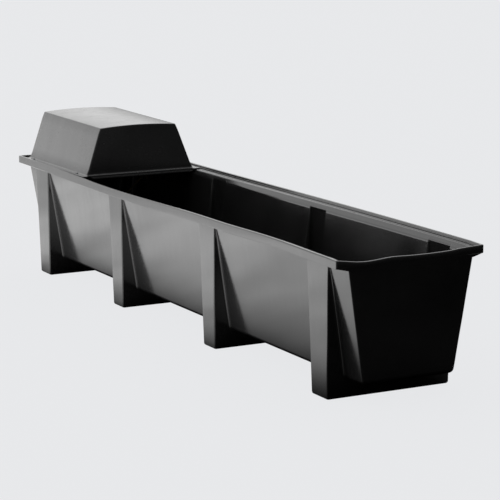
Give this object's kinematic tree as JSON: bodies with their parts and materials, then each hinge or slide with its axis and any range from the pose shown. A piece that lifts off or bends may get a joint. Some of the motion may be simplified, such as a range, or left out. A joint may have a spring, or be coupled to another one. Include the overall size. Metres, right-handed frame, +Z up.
{
  "type": "livestock water trough",
  "caption": "Long narrow moulded plastic water trough on hollow side legs, with a covered float valve at one end that keeps it filled and a drain plug low in the side.",
  "frame": {"origin": "on the ground under the centre of the trough's overall outline", "axes": "+X along the trough away from the service cover, +Y across it towards the inlet and the drain, +Z up"},
  "size_m": [2.44, 0.515, 0.62],
  "materials": {
    "tank_polyethylene": "moulded black with a soft shine",
    "cover_polyethylene": "moulded black with a soft shine",
    "zinc_steel": "dull weathered zinc plate",
    "valve_brass": "dull tarnished brass",
    "white_nylon": "satin nylon",
    "black_rubber": "matt rubber",
    "float_plastic": "moulded black",
    "fitting_plastic": "moulded polypropylene"
  },
  "bodies": {
    "tank": {"tank_rim": "tank_polyethylene", "tank_near_wall": "tank_polyethylene", "tank_far_wall": "tank_polyethylene", "tank_front_end": "tank_polyethylene", "tank_back_end": "tank_polyethylene", "tank_floor": "tank_polyethylene", "tank_feet": "tank_polyethylene", "cover_washers": "zinc_steel", "cover_wing_nuts": "zinc_steel", "valve_body": "valve_brass", "valve_end_cap": "valve_brass", "valve_seat": "white_nylon", "lever_pin": "zinc_steel", "inner_backnut": "valve_brass", "outer_backnut": "valve_brass", "inner_inlet_washer": "black_rubber", "outer_inlet_washer": "black_rubber", "drain_bush": "fitting_plastic", "drain_gasket": "black_rubber", "drain_backnut": "fitting_plastic"},
    "cover": {"service_cover": "cover_polyethylene", "cover_bolts": "zinc_steel"},
    "piston": {"valve_piston": "valve_brass", "piston_washer": "black_rubber"},
    "arm": {"lever_fork": "valve_brass", "float_arm": "valve_brass", "arm_locknut": "valve_brass", "float_ball": "float_plastic", "float_insert": "valve_brass"},
    "plug": {"drain_plug": "fitting_plastic", "plug_o_ring": "black_rubber"}
  },
  "joints": [
    {"name": "cover_lift", "type": "slide", "parent": "tank", "child": "cover", "axis": [0, 0, 1], "range_m": [0, 0.25]},
    {"name": "float_swing", "type": "hinge", "parent": "tank", "child": "arm", "pos_m": [-0.95, 0.147, 0.3695], "axis": [-1, 0, 0], "range_deg": [0, 35]},
    {"name": "piston_slide", "type": "slide", "parent": "tank", "child": "piston", "axis": [0, 1, 0], "range_m": [0, 0.0069]},
    {"name": "plug_draw", "type": "slide", "parent": "tank", "child": "plug", "axis": [0, 1, 0], "range_m": [0, 0.05]}
  ],
  "couplings": [
    {"joint": "piston_slide", "follows": "float_swing", "m_per_rad": 0.011}
  ]
}
